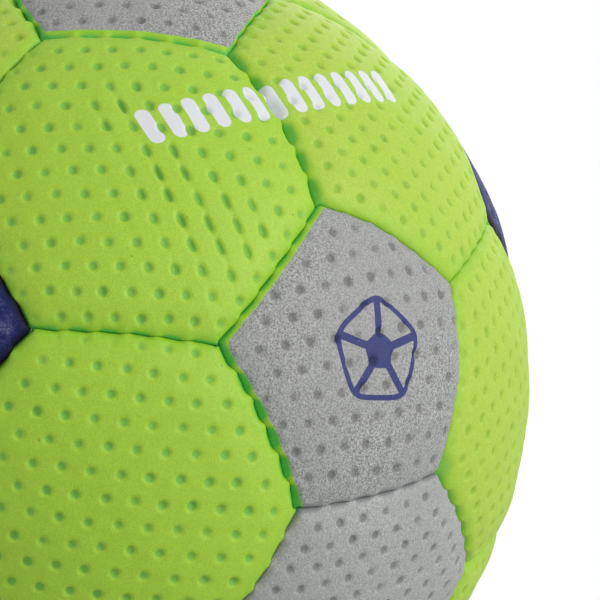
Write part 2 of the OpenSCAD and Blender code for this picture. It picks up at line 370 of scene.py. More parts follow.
def flat_panel(sides):
    """A flat panel of triangles, with its rings below it: a vertex's z is the number of its ring."""
    bm = bmesh.new()
    bmesh.ops.create_grid(
        bm, x_segments=2 * GRID_REACH, y_segments=2 * GRID_REACH, size=GRID_REACH * MESH_STEP
    )
    sine = math.sin(math.pi / 3)
    lean = Matrix(((0, sine, 0, 0), (1, 0.5, 0, 0), (0, 0, 1, 0), (0, 0, 0, 1)))
    bmesh.ops.transform(bm, matrix=lean, verts=bm.verts)
    for k in range(sides):
        turn = 2 * math.pi * k / sides
        out = Vector((math.cos(turn), math.sin(turn), 0))
        bmesh.ops.bisect_plane(
            bm, geom=bm.verts[:] + bm.edges[:] + bm.faces[:], dist=0.01 * MESH_STEP,
            plane_co=out * apothem(sides), plane_no=out, clear_outer=True,
        )
    bmesh.ops.triangulate(bm, faces=bm.faces, quad_method="SHORT_EDGE", ngon_method="BEAUTY")
    rim = [e for e in bm.edges if e.is_boundary]
    for ring in range(1, len(RINGS) + 1):
        made = bmesh.ops.extrude_edge_only(bm, edges=rim)["geom"]
        below = [v for v in made if isinstance(v, bmesh.types.BMVert)]
        for v in below:
            v.co.z = ring
        rim = [e for e in made if isinstance(e, bmesh.types.BMEdge) and e.is_boundary]
    bmesh.ops.pointmerge(bm, verts=below, merge_co=(0, 0, len(RINGS)))
    bmesh.ops.recalc_face_normals(bm, faces=bm.faces)
    mesh = bpy.data.meshes.new(f"flat_panel_{sides}")
    bm.to_mesh(mesh)
    bm.free()
    return mesh


def smooth_step(low, high, x):
    t = np.clip((x - low) / (high - low), 0, 1)
    return t * t * (3 - 2 * t)


def at_least(low, share):
    """Squeezes a share that starts at 0, so that it starts at low; 1 stays 1."""
    return low + (1 - low) * share


def ripple(points, length, seed):
    """A smooth uneven field, mostly from -1 to 1, whose waves are about as long as length."""
    rng = np.random.default_rng(seed)
    total = np.zeros(len(points))
    for _ in range(6):
        wave = rng.normal(size=3)
        wave *= 2 * math.pi / length / np.linalg.norm(wave) * rng.uniform(0.6, 1.5)
        total += np.sin(points @ wave + rng.uniform(0, 2 * math.pi))
    return total / 3


def direction(sides, flat):
    """The direction from the ball's centre to a point of the flat panel once it is on the ball."""
    reach = np.hypot(flat[:, 0], flat[:, 1])
    turn = np.arctan2(flat[:, 1], flat[:, 0])
    sector = 2 * math.pi / sides
    off = np.abs((turn + sector / 2) % sector - sector / 2)
    edge = apothem(sides) / np.cos(off)
    edge_angle = np.arctan(math.tan(side_angle(sides)) / np.cos(off))
    angle = reach / edge * edge_angle
    return np.stack([np.sin(angle) * np.cos(turn), np.sin(angle) * np.sin(turn), np.cos(angle)], 1)


def side_axes(sides):
    """For each side: out across the seam, along the seam, and from the centre to its middle."""
    turn = 2 * math.pi * np.arange(sides) / sides
    s, c = math.sin(side_angle(sides)), math.cos(side_angle(sides))
    flat = np.zeros(sides)
    out = np.stack([c * np.cos(turn), c * np.sin(turn), flat - s], 1)
    along = np.stack([-np.sin(turn), np.cos(turn), flat], 1)
    middle = np.stack([s * np.cos(turn), s * np.sin(turn), flat + c], 1)
    return out, along, middle


def crown_reach(sides, d):
    """How far the crowned face lies from the ball's centre, in each direction."""
    half = BALL_R * math.sin(side_angle(sides))
    rise = BALL_R * (1 - math.cos(side_angle(sides))) + CROWN_H
    crown_r = (half**2 + rise**2) / (2 * rise)
    centre = BALL_R - crown_r
    return centre * d[:, 2] + np.sqrt(crown_r**2 - centre**2 * (1 - d[:, 2] ** 2))


def drifted(points):
    """Points shifted as the hand-sewn pattern is, each at the distance from the centre that it had."""
    way = unit(points)
    moved = way * BALL_R
    for corner, shift in DRIFTS:
        far = BALL_R**2 * ((way - np.array(corner)) ** 2).sum(1)
        moved += np.exp(-far / DRIFT_REACH**2)[:, None] * np.array(shift)
    return unit(moved) * np.linalg.norm(points, axis=1)[:, None]


def corner_reach(u, v, c):
    """The distance from a corner's centre, u and v past it towards two sides; c is their angle's cosine."""
    return np.sqrt(np.maximum(u * u + v * v - 2 * c * u * v, 0) / (1 - c * c))


def edge_distance(sides, d):
    """The distance to the rounded outline, the way out of it, the place along the nearest side, the
    nearest two sides, and how much further off the second one is."""
    out, along, middle = side_axes(sides)
    far = BALL_R * np.arcsin(np.clip(-d @ out.T, -1, 1))
    order = np.argsort(far, axis=1)
    first, second = order[:, 0], order[:, 1]
    rows = np.arange(len(d))
    u = CORNER_R - far[rows, first]
    v = CORNER_R - far[rows, second]
    c = out[0] @ out[1]
    round_it = (v > c * u) & (v > 0)
    inside = np.where(round_it, CORNER_R - corner_reach(u, v, c), far[rows, first])
    blend = (u - c * v)[:, None] * out[first] + (v - c * u)[:, None] * out[second]
    way = np.where(round_it[:, None], unit(blend + 1e-9), out[first])
    place = BALL_R * np.arctan2((d * along[first]).sum(1), (d * middle[first]).sum(1))
    apart = far[rows, second] - far[rows, first]
    return inside, way, place, first, second, apart


def scattered(cells, k):
    """An uneven number from -0.5 to 0.5 for each cell of a lattice, the same on every run."""
    return (np.sin(cells @ (12.9898, 78.233) + 3 * k) * 4375.85) % 1 - 0.5


def dimples(flat, lattice, squeeze):
    """How deep each point of the flat panel lies in a dimple, from 0 to 1, and in a crease."""
    step_a, step_b, place = (np.array(v, float) for v in lattice)
    steps = np.stack([step_a, step_b], 1)
    index = (flat - place) @ np.linalg.inv(steps).T
    way = unit(step_a)
    half_l = DIMPLE_R * (1 + SQUEEZED_LENGTH * squeeze)
    half_w = DIMPLE_R * (1 - SQUEEZED_NARROWING * squeeze)
    pit = np.zeros(len(flat))
    for corner in ((0, 0), (0, 1), (1, 0), (1, 1)):
        dimple = np.floor(index) + corner
        chance = [scattered(dimple, k) for k in range(3)]
        off = (index - dimple) @ steps.T + DIMPLE_SCATTER * np.stack(chance[:2], 1)
        lengthwise = off @ way / half_l
        across = (off[:, 1] * way[0] - off[:, 0] * way[1]) / half_w
        deep = np.exp(-((lengthwise**2 + across**2) ** DIMPLE_STEEPNESS))
        pit = np.maximum(pit, deep * (1 + DEPTH_SCATTER * chance[2]))
    row_step = abs(step_b[1] * way[0] - step_b[0] * way[1])
    row = (flat[:, 1] - place[1]) * way[0] - (flat[:, 0] - place[0]) * way[1]
    row -= row_step * np.round(row / row_step)
    return pit, np.exp(-((row / CREASE_HALF_W) ** 2)) * squeeze


def coat_distance(sides, flat, insets):
    """How many millimetres each point of the flat panel is inside the rounded outline of its coat."""
    turn = 2 * math.pi * np.arange(sides) / sides
    far = apothem(sides) - insets - flat @ np.stack([np.cos(turn), np.sin(turn)])
    first, second = np.sort(far, axis=1)[:, :2].T
    u, v = COAT_CORNER_R - first, COAT_CORNER_R - second
    c = math.cos(2 * math.pi / sides)
    return np.where((v > c * u) & (v > 0), COAT_CORNER_R - corner_reach(u, v, c), first)


def blended(values, first, second, apart):
    """What the nearest side has, blended towards a corner with what the next side has."""
    share = 0.5 * np.exp(-apart / CORNER_BLEND)
    return values[first] * (1 - share) + values[second] * share


def stitch_pattern(place):
    """How far off a stitch each place along a side is, from 0 to 1, and which way the gap there slants."""
    steps = place / (SIDE_ARC * BALL_R / STITCHES)
    last = STITCHES // 2 - 1
    from_stitch = np.abs(steps - np.clip(np.round(steps), -last, last))
    between = 1 - np.exp(-((from_stitch / PINCH_FADE) ** 2))
    slant = 2 * (steps - np.floor(steps) - 0.5) * (1 - np.exp(-((from_stitch / SLANT_FADE) ** 2)))
    return between, slant


def seam_shifts(on_seam, out, turn, wide, between, slant):
    """How wide a seam gapes and how far both its edges are shifted across it, in millimetres."""
    uneven = 1 + STITCH_UNEVENNESS * ripple(on_seam, *STITCH_WAVES)
    swell = np.clip(GAPE_MEAN + GAPE_SWING * ripple(on_seam, *GAPE_WAVES), *GAPE_LIMITS)
    gape = SEAM_GAPE * wide * swell * between * uneven
    wander = np.stack([ripple(on_seam, WANDER_WAVE, WANDER_SEED + k) for k in range(3)], 1) @ turn
    shared = STITCH_SLANT * np.clip(wide, 0, 1) * slant * uneven + SEAM_WANDER * (wander * out).sum(1)
    return gape, shared


def far_squared(points, spot):
    """The square of each point's distance from a spot of the ball, which is given as a direction."""
    return ((points - BALL_R * unit(np.array(spot))) ** 2).sum(1)


def shape_face(name, sides, flat, turn, openness, light, lattice, squeeze, seed):
    """One panel's face in its own frame; how far each point is in a dimple, with painted shade for a
    pocket; how much painted shade it takes in the slit and on the rolled edge; and how far it is in a
    pocket.
    """
    d = direction(sides, flat)
    inside, way, place, first, second, apart = edge_distance(sides, d)
    out = side_axes(sides)[0][first]
    on_seam = BALL_R * unit(d - (d * out).sum(1)[:, None] * out) @ turn.T
    on_ball = d * BALL_R @ turn.T
    wide, shade_free_edge = (blended(values, first, second, apart) for values in (openness, light))
    between, slant = stitch_pattern(place)
    gape, shared = seam_shifts(on_seam, out, turn, wide, between, slant)

    level = np.clip(inside / ROLL_REACH, 0, 1)
    roll = math.pi / 2 * (1 - level)
    lateral = np.where(inside > ROLL_REACH, inside, ROLL_REACH * (1 - np.sin(roll)))
    lateral = np.where(inside > 0, lateral, inside)
    lateral += gape * BULGE * level * (1 - level) ** 2 - shared * (1 - level) ** SLANT_POWER
    depth = PINCHED_DEPTH + (GAPING_DEPTH - PINCHED_DEPTH) * between
    depth *= at_least(SHUT_SHARE, np.clip(wide, 0, 1))
    drop = depth * (1 - np.cos(roll)) + CORNER_FALL * np.maximum(-inside, 0)
    drop += PILLOW_FALL * (1 - np.clip(inside / PILLOW_REACH, 0, 1)) ** 2
    drop += sum(height * (1 + ripple(on_ball, length, seed + step)) for height, length, step in FACE_WAVES)

    pit, crease = dimples(flat, lattice, squeeze)
    share, length, step = DIMPLE_WAVES
    pit *= (1 + share * ripple(on_ball, length, seed + step)) * smooth_step(*DIMPLE_EDGE, inside)
    drop += DIMPLE_DEPTH * pit * (1 + SQUEEZED_DEPTH * squeeze) + CREASE_DEPTH * crease

    if name in FULLNESS:
        spot, rise, reach = FULLNESS[name]
        swelling = np.exp(-far_squared(on_ball, FULLNESS_PLACES[spot]) / reach**2)
        drop -= rise * swelling * smooth_step(*FULLNESS_EDGE, inside)

    hollow = np.zeros(len(d))
    if name in POCKETS:
        spot, reach, fall = POCKETS[name]
        hollow = np.exp(-((far_squared(on_ball, spot) / reach**2) ** POCKET_POWER))
        drop += fall * hollow

    points = d * (crown_reach(sides, d) - drop)[:, None]
    gap = PINCHED_GAP + GAPING_GAP * between * wide
    points += way * (inside - lateral - (1 - level) * gap)[:, None]
    # Painted shade in the slit, and on all of the wall beyond the outline
    slit = (1 - level) * at_least(PINCHED_SLIT, between)
    slit *= at_least(SHUT_SHARE, np.clip(wide, 0, SLIT_WIDEST))
    slit = smooth_step(0, SLIT_BLUR, slit - SLIT_LEVEL - shade_free_edge)
    slit = np.clip(slit + np.clip(-inside / OUTLINE_BLUR, 0, 1), 0, 1)
    # The dimples' tone, partly painted shade, deeper where squeezed, with painted shade in a pocket
    pit = pit * (1 + SQUEEZED_TONE_AND_SHADE * squeeze) + POCKET_SHADE * hollow
    return points, pit, slit, 1 - smooth_step(*EDGE_SHADE_BAND, inside), hollow


def squeezed(flat, spots):
    """Where the padding is squeezed, from 0 to 1: round spots given as x, y and radius in mm."""
    zone = np.zeros(len(flat))
    for x, y, radius in spots:
        far = (flat[:, 0] - x) ** 2 + (flat[:, 1] - y) ** 2
        zone = np.maximum(zone, np.exp(-(far / radius**2)))
    return zone


def dimple_plan(name, rng):
    """A panel's lattice of dimples and its squeezed spots, by chance if it has no lattice of its own."""
    slope = math.radians(rng.uniform(*CHANCE_SLOPE))
    ways = [np.array([math.cos(t), math.sin(t)]) for t in (slope, slope + STEPS_ANGLE)]
    steps = [way * rng.uniform(*lengths) for way, lengths in zip(ways, CHANCE_STEPS)]
    lattice = LATTICES.get(name, (*steps, rng.uniform(*CHANCE_PLACE, 2)))
    spots = SQUEEZED.get(name, ())
    if name not in LATTICES and rng.random() < SPOT_CHANCE:
        spots = ((*rng.uniform(*CHANCE_SPOT, 2), rng.uniform(*CHANCE_SPOT_R)),)
    return lattice, spots


FLAT = {sides: flat_panel(sides) for sides in (5, 6)}


def make_panel(name, sides, turn, insets, openness, light, seed):
    """One padded panel, which stands for the CAD node of the same name."""
    mesh = FLAT[sides].copy()
    mesh.name = name
    count = len(mesh.vertices)
    start = np.zeros(count * 3, np.float32)
    mesh.vertices.foreach_get("co", start)
    start = start.reshape(-1, 3).astype(float)
    rng = np.random.default_rng(seed)
    lattice, spots = dimple_plan(name, rng)

    points = np.zeros((count, 3))
    pit = np.zeros(count)
    seam = np.ones(count)
    edge = np.ones(count)
    coat = np.full(count, UNCOATED)
    face = start[:, 2] < 0.5
    flat = start[face, :2]
    points[face], pit[face], seam[face], edge[face], hollow = shape_face(
        name, sides, flat, turn, openness, light, lattice, squeezed(flat, spots), seed
    )
    coat[face] = coat_distance(sides, flat, insets)
    yellow_and_lit = np.full(count, YELLOWNESS_AND_LIGHT.get(name, rng.random()))
    # A pocket loses its lighter, lit tone: painted shade
    yellow_and_lit[face] *= 1 - hollow
    if name == VALVE_PANEL:
        points[face] = valve_rim(points[face], np.hypot(*points[face, :2].T))
    for ring, (share, inset, depth) in enumerate(RINGS, 1):
        mine = np.abs(start[:, 2] - ring) < 0.5
        scale = share * (1 - inset / apothem(sides))
        points[mine] = direction(sides, start[mine, :2] * scale) * (BALL_R - depth)
    points = drifted(points @ turn.T) * MM
    mesh.vertices.foreach_set("co", points.astype(np.float32).ravel())
    # The pit, seam and edge fields carry painted shade, and the yellowness field also paints light
    fields = {"pit": pit, "seam": seam, "edge": edge, "coat": coat, "yellow_and_lit": yellow_and_lit}
    for label, values in fields.items():
        layer = mesh.attributes.new(label, "FLOAT", "POINT")
        layer.data.foreach_set("value", values.astype(np.float32))
    mesh.shade_smooth()
    piece = bpy.data.objects.new(name + "_padded", mesh)
    bpy.context.scene.collection.objects.link(piece)
    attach(piece, "ball")
    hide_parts(name)
    return piece


def valve_rim(points, reach):
    """Draws a face down round the valve hole; reach is each point's distance from the valve's axis."""
    left = np.clip((reach - VALVE_HOLE_R) / VALVE_RIM_REACH, 0, 1)
    fall = VALVE_RIM_FALL * (1 - np.cos(math.pi / 2 * (1 - left)))
    return points * (1 - fall / BALL_R)[:, None]


def cut_valve_hole(piece):
    """Cuts the hole that the valve housing's boss comes up through."""
    bm = bmesh.new()
    bmesh.ops.create_cone(
        bm, cap_ends=True, segments=ROUND_SEGMENTS,
        radius1=VALVE_HOLE_R * MM, radius2=VALVE_HOLE_R * MM, depth=PUNCH_L * MM,
    )
    bmesh.ops.rotate(bm, verts=bm.verts, cent=(0, 0, 0), matrix=Matrix.Rotation(math.pi / 2, 3, "X"))
    bmesh.ops.translate(bm, verts=bm.verts, vec=(0, PUNCH_PLACE * MM, 0))
    mesh = bpy.data.meshes.new("valve_punch")
    bm.to_mesh(mesh)
    bm.free()
    punch = bpy.data.objects.new("valve_punch", mesh)
    bpy.context.scene.collection.objects.link(punch)
    cut = piece.modifiers.new("valve_hole", "BOOLEAN")
    cut.operation = "DIFFERENCE"
    cut.solver = "EXACT"
    cut.object = punch
    ready = piece.evaluated_get(bpy.context.evaluated_depsgraph_get())
    done = bpy.data.meshes.new_from_object(ready)
    piece.modifiers.clear()
    piece.data = done
    bpy.data.objects.remove(punch)


# ---------------------------------------------------------------- finishes


class Wire:
    """A number that changes over a surface; arithmetic on it adds Math nodes."""

    def __init__(self, finish, socket):
        self.finish = finish
        self.socket = socket

    def math(self, operation, *terms, clamp=False):
        return self.finish.node("ShaderNodeMath", {"operation": operation, "use_clamp": clamp}, *terms)

    def __add__(self, other):
        return self.math("ADD", self, other)

    __radd__ = __add__

    def __sub__(self, other):
        return self.math("SUBTRACT", self, other)

    def __rsub__(self, other):
        return self.math("SUBTRACT", other, self)

    def __mul__(self, other):
        return self.math("MULTIPLY", self, other)

    __rmul__ = __mul__

    def __truediv__(self, other):
        return self.math("DIVIDE", self, other)

    def __pow__(self, other):
        return self.math("POWER", self, other)

    def clamped(self):
        return self.math("ADD", self, 0, clamp=True)

    def rounded(self):
        return self.math("ROUND", self)

    def abs(self):
        return self.math("ABSOLUTE", self)

    def most(self, other):
        return self.math("MAXIMUM", self, other)

    def length(self, other):
        return self.math("SQRT", self * self + other * other)


class Finish:
    """A material with one Principled shader; node() adds every other node."""

    def __init__(self, name, **fixed):
        self.material = bpy.data.materials.new(name)
        self.material.use_nodes = True
        self.nodes = self.material.node_tree.nodes
        self.links = self.material.node_tree.links
        self.shader = self.nodes["Principled BSDF"]
        for key, value in fixed.items():
            label = key.replace("_", " ").title().replace("Ior", "IOR")
            self.shader.inputs[label].default_value = value
        self.place = self.node("ShaderNodeTexCoord", {}, output="Object")

    def node(self, kind, settings, *values, output=None, **named):
        """Adds a node; values go to its sockets in order and named ones to the sockets of that name."""
        made = self.nodes.new(kind)
        for key, value in settings.items():
            setattr(made, key, value)
        sockets = [s for s in made.inputs if s.enabled]
        given = [*zip(sockets, values)]
        for key, value in named.items():
            given.append((next(s for s in sockets if s.name == key), value))
        for socket, value in given:
            if isinstance(value, Wire):
                self.links.new(value.socket, socket)
            else:
                socket.default_value = value
        outputs = [s for s in made.outputs if s.enabled and output in (None, s.name)]
        return Wire(self, outputs[0])

    def set(self, key, wire):
        self.links.new(wire.socket, self.shader.inputs[key])

    def noise(self, size, detail=2.0, roughness=0.5):
        """Noise from 0 to 1 whose lumps are about size millimetres."""
        values = {"Scale": 1 / (size * MM), "Detail": detail, "Roughness": roughness}
        return self.node("ShaderNodeTexNoise", {}, output="Fac", Vector=self.place, **values)

    def cells(self, size, feature="F1", **values):
        """The distance from the middle, or to the edge, of cells about size millimetres across."""
        values |= {"Scale": 1 / (size * MM), "Randomness": 0.95}
        settings = {"feature": feature}
        return self.node("ShaderNodeTexVoronoi", settings, output="Distance", Vector=self.place, **values)

    def stripes(self, at, scale, distortion):
        """Slanting stripes, as threads that lie side by side have."""
        values = {"Scale": scale, "Distortion": distortion}
        settings = {"bands_direction": "DIAGONAL"}
        return self.node("ShaderNodeTexWave", settings, output="Fac", Vector=at, **values)

    def attribute(self, name):
        return self.node("ShaderNodeAttribute", {"attribute_name": name}, output="Fac")

    def mix(self, share, low, high):
        """low where share is 0 and high where it is 1; both are colours."""
        return self.node("ShaderNodeMix", {"data_type": "RGBA"}, share, low, high, output="Result")

    def step(self, value, low, high):
        """Rises smoothly from 0 to 1 as value goes from low to high."""
        return self.node("ShaderNodeMapRange", {"interpolation_type": "SMOOTHSTEP"}, value, low, high)

    def relief(self, height, depth, strength=1.0):
        """Turns height, from 0 to 1, into bumps depth millimetres deep."""
        return self.node("ShaderNodeBump", {}, Strength=strength, Distance=depth * MM, Height=height)


def colour(red, green, blue):
    """A colour as it shows on a screen, from 0 to 255, as the shader wants it."""
    share = (c / 255 for c in (red, green, blue))
    return (*(c / 12.92 if c <= 0.04045 else ((c + 0.055) / 1.055) ** 2.4 for c in share), 1.0)


def scaled(tone, share):
    return (*(c * share for c in tone[:3]), 1.0)


# Lime tones: the face's own; in dimples, partly their own and partly painted shade; painted shade on rolled
# edges and in seams, lighter on lit panels
LIME, YELLOW_LIME = colour(173, 218, 61), colour(190, 214, 79)
PIT_LIME_WITH_SHADE, PIT_YELLOW_LIME_WITH_SHADE, EDGE_SHADE_LIME = colour(92, 174, 74), colour(140, 184, 54), colour(142, 202, 40)
SEAM_SHADE_LIME, LIT_SEAM_SHADE_LIME = colour(94, 194, 82), colour(140, 200, 64)


class Coat:
    """The tones of a coat: on its face; in dimples, partly painted shade; the painted shade in seams and at
    a scuffed coat's edge; and, if it is scuffed, where it is worn and has a painted sheen.
    """

    def __init__(self, tone, pit_tone_and_shade, seam_tone, worn_and_sheen_tone=None):
        self.tone, self.pit_tone_and_shade = tone, pit_tone_and_shade
        self.seam_tone, self.worn_and_sheen_tone = seam_tone, worn_and_sheen_tone


# A coat's tones: its face, its dimples (partly painted shade), the painted shade in its seams, and for the
# navy the tone of scuffs with a painted sheen
GREY = Coat(colour(166, 167, 165), colour(106, 107, 105), colour(140, 141, 141))
NAVY = Coat(colour(22, 31, 90), colour(15, 21, 66), colour(6, 8, 18), colour(132, 132, 170))
SHINE, WORN_SHINE = 0.42, 0.18
SKIN_RELIEF = 0.1


def foamed_skin(name, coat=None, marks=None):
    """Lime imitation leather, bare or with a pebbled coat on it, with painted shade in seams and on rolled
    edges, and a deeper tone in dimples that is partly painted shade.
    """
    skin = Finish(
        name, roughness=0.55, specular_ior_level=WORN_SHINE if coat and coat.worn_and_sheen_tone else SHINE
    )
    pit = skin.attribute("pit")
    seam = skin.attribute("seam")
    yellow_and_lit = skin.attribute("yellow_and_lit")
    cloudy = skin.noise(26, detail=3)
    specks = skin.noise(0.9, detail=4, roughness=0.7)
    fine = skin.noise(0.28, detail=2, roughness=0.6)
    pores = 1 - skin.step(skin.cells(6.0), 0.02, 0.045)
    # The share of the dimples' deeper tone, partly painted shade
    dimple_tone_and_shade = skin.step(pit, 0.2, 0.85) * 0.6

    face = skin.mix(yellow_and_lit, LIME, YELLOW_LIME)
    for field, low, high, share, darkness in (
        (cloudy, 0.3, 0.7, 0.35, 0.9), (specks, 0.4, 0.75, 0.28, 0.7), (fine, 0.38, 0.62, 0.6, 0.76),
    ):
        face = skin.mix(skin.step(field, low, high) * share, face, scaled(LIME, darkness))
    # Painted shade on the rolled edges
    face = skin.mix(skin.attribute("edge") * 0.5, face, EDGE_SHADE_LIME)
    # The dimples' deeper tone, partly painted shade
    face = skin.mix(dimple_tone_and_shade, face, skin.mix(yellow_and_lit, PIT_LIME_WITH_SHADE, PIT_YELLOW_LIME_WITH_SHADE))
    face = skin.mix(pores * 0.6, face, scaled(LIME, 0.25))
    # Painted shade in the seams, lighter on panels that take painted light
    face = skin.mix(seam, face, skin.mix(yellow_and_lit**3, SEAM_SHADE_LIME, LIT_SEAM_SHADE_LIME))
    height = (specks * 0.4 + fine * 0.6) * 0.7
    if coat:
        inside = skin.attribute("coat")
        covered = skin.step(inside, -0.07, 0.07)
        pebbles = skin.cells(0.62, "SMOOTH_F1", Smoothness=0.4)
        grain = skin.noise(0.36, detail=3, roughness=0.75)
        dark, bright = scaled(coat.tone, 0.4), scaled(coat.tone, 1.4)
        top = skin.mix(skin.step(grain, 0.36, 0.64), dark, bright)
        # Painted light: a grey coat on a yellower panel is lightened
        top = skin.mix(yellow_and_lit * 0.4, top, bright)
        top = skin.mix(skin.step(cloudy, 0.3, 0.7) * 0.5, top, scaled(coat.tone, 0.93))
        # The coat's deeper tone in dimples, partly painted shade
        top = skin.mix(dimple_tone_and_shade, top, coat.pit_tone_and_shade)
        if coat.worn_and_sheen_tone:
            # Pale scuffs on the ridges of creases: wear, with a painted sheen
            ridges = 1 - skin.step(skin.cells(2.6, "DISTANCE_TO_EDGE"), 0.04, 0.3)
            patches = skin.step(skin.noise(7, detail=4, roughness=0.75), 0.36, 0.6)
            scuffs_and_sheen = patches * (0.3 + 0.7 * ridges) * skin.step(grain, 0.38, 0.64)
            top = skin.mix(scuffs_and_sheen * skin.step(inside, 1.2, 3.0) * 0.75, top, coat.worn_and_sheen_tone)
            # Painted shade where the coat runs down towards the seam
            top = skin.mix(1 - skin.step(inside, 0.3, 2.2), top, coat.seam_tone)
        # Painted shade in the seams
        top = skin.mix(seam, top, coat.seam_tone)
        face = skin.mix(covered, face, top)
        height = height * (1 - covered) + (pebbles * 0.6 + grain * 1.3) * covered
    if marks:
        ink, ink_tone, ink_depth = marks(skin)
        unworn = skin.step(skin.noise(0.7, detail=3, roughness=0.7), 0.2, 0.34)
        face = skin.mix((ink * unworn).clamped(), face, ink_tone)
        # Ink darkened in dimples by their deeper tone, partly painted shade
        face = skin.mix(ink * dimple_tone_and_shade * ink_depth, face, scaled(ink_tone, 0.42))
    skin.set("Base Color", face)
    skin.set("Roughness", (0.5 + 0.14 * specks + 0.08 * pit).clamped())
    skin.set("Normal", skin.relief(height, SKIN_RELIEF, 0.9))
    return skin.material


# What is printed on the skin: each mark gives its ink's share, its tone and how much the dimples' deeper
# tone, partly painted shade, darkens it
INK_WHITE, WHITE_IN_DIMPLES = colour(228, 231, 234), 0.25
INK_NAVY, NAVY_IN_DIMPLES = colour(44, 50, 112), 1.3

# The bars' place, as columns x, y and z, and their sizes
BAR_TURN = np.array([(0.9818, -0.173, -0.0779), (0.0398, 0.5891, -0.8071), (0.1855, 0.7893, 0.5853)])
BARS = 14
BAR_PITCH = 4.5 * MM
BAR_HALF_H = 2.6 * MM
BAR_HALF_W = 1.4 * MM
BAR_BLUR = 0.1 * MM
BEND_REACH = 31 * MM
BEND_H = 2.0 * MM

# The badge's place on its panel; then, in mm, where the ink of each part is full and where it ends
BADGE_TURN = pentagon_turn(0)
BADGE_X, BADGE_Y = -1.0 * MM, 2.8 * MM
BADGE_SIDE = -12
ROUNDNESS = 7
RING_R = 8.6
RING_HALF_W = (0.45, 0.58)
HUB_R = (3.1, 3.25)
SPOKE_HALF_W = (0.7, 0.85)
SPOKE_END = (8.5, 8.6)


def on_face(skin, turn):
    """Object coordinates turned so that x and y lie along a face and z stands out of it."""
    angles = Matrix(turn.T.tolist()).to_euler()
    turned = skin.node("ShaderNodeMapping", {}, Vector=skin.place, Rotation=angles)
    split = skin.node("ShaderNodeSeparateXYZ", {}, turned)
    return [Wire(skin, split.socket.node.outputs[axis]) for axis in "XYZ"]


def bar_row(skin):
    """A row of upright bars with rounded ends, bent a little along the ball."""
    x, y, z = on_face(skin, BAR_TURN)
    cell = x / BAR_PITCH + 0.5
    off = (cell - cell.rounded()) * BAR_PITCH
    bend = 1 - (x / BEND_REACH) * (x / BEND_REACH)
    over = ((y + bend * BEND_H).abs() - BAR_HALF_H).most(0.0)
    gap = off.length(over) - BAR_HALF_W
    bar = 1 - skin.step(gap, -BAR_BLUR, BAR_BLUR)
    within = 1 - skin.step(x.abs(), (BARS / 2 - 0.05) * BAR_PITCH, BARS / 2 * BAR_PITCH)
    return bar * within * skin.step(z, 0.0, MM), INK_WHITE, WHITE_IN_DIMPLES


def five_sided(x, y):
    """How far out a point is in a rounded pentagon, in millimetres from its middle to a side."""
    total = 0.0
    for k in range(5):
        turn = math.radians(72 * k + BADGE_SIDE)
        side = (x * math.cos(turn) + y * math.sin(turn)).most(0.0) / MM
        total = side**ROUNDNESS + total
    return total ** (1 / ROUNDNESS)


def badge(skin):
    """A rounded five-sided ring, with spokes to a small solid one inside it, like a ball's seams."""
    x, y, z = on_face(skin, BADGE_TURN)
    x, y = x - BADGE_X, y - BADGE_Y
    reach = five_sided(x, y)
    ring = 1 - skin.step((reach - RING_R).abs(), *RING_HALF_W)
    ink = ring.most(1 - skin.step(reach, *HUB_R))
    for k in range(5):
        turn = math.radians(72 * k + BADGE_SIDE + 36)
        off = (y * math.cos(turn) - x * math.sin(turn)).abs() / MM
        ahead = skin.step(x * math.cos(turn) + y * math.sin(turn), 0, MM)
        spoke = (1 - skin.step(off, *SPOKE_HALF_W)) * ahead * (1 - skin.step(reach, *SPOKE_END))
        ink = ink.most(spoke)
    return ink * skin.step(z, 0.0, MM), INK_NAVY, NAVY_IN_DIMPLES


def dark_rubber(name):
    rubber = Finish(name, specular_ior_level=0.45)
    cloud = rubber.noise(3, detail=4)
    dust = rubber.noise(0.35, detail=2)
    rubber.set("Base Color", rubber.mix(cloud, colour(30, 32, 37), colour(44, 46, 51)))
    rubber.set("Roughness", (0.45 + 0.25 * dust).clamped())
    rubber.set("Normal", rubber.relief(dust, 0.03))
    return rubber.material


def latex(name):
    film = Finish(name, specular_ior_level=0.5)
    cloud = film.noise(12, detail=3)
    film.set("Base Color", film.mix(cloud, colour(190, 150, 92), colour(212, 174, 116)))
    film.set("Roughness", (0.35 + 0.2 * cloud).clamped())
    film.set("Normal", film.relief(film.noise(0.8, detail=3), 0.05))
    return film.material


def lining_cloth(name):
    """Plain weave: two sets of threads about 0.4 mm apart."""
    cloth = Finish(name, specular_ior_level=0.2)
    warp, weft = (
        cloth.stripes(cloth.node("ShaderNodeMapping", {}, Vector=cloth.place, Rotation=turn), 950, 0.4)
        for turn in ((0.6, 0.3, 0.2), (0.6 + math.pi / 2, 0.3, 0.2))
    )
    weave = warp.most(weft)
    cloth.set("Base Color", cloth.mix(weave, colour(214, 208, 194), colour(243, 239, 229)))
    cloth.set("Roughness", (0.8 + 0.15 * weave).clamped())
    cloth.set("Normal", cloth.relief(weave, 0.08))
    return cloth.material


def waxed_thread(name):
    thread = Finish(name, specular_ior_level=0.5)
    twist = thread.stripes(thread.place, 800, 1.2)
    thread.set("Base Color", thread.mix(twist, colour(196, 190, 172), colour(235, 231, 218)))
    thread.set("Roughness", (0.42 + 0.2 * twist).clamped())
    thread.set("Normal", thread.relief(twist, 0.06))
    return thread.material


# ---------------------------------------------------------------- the ball

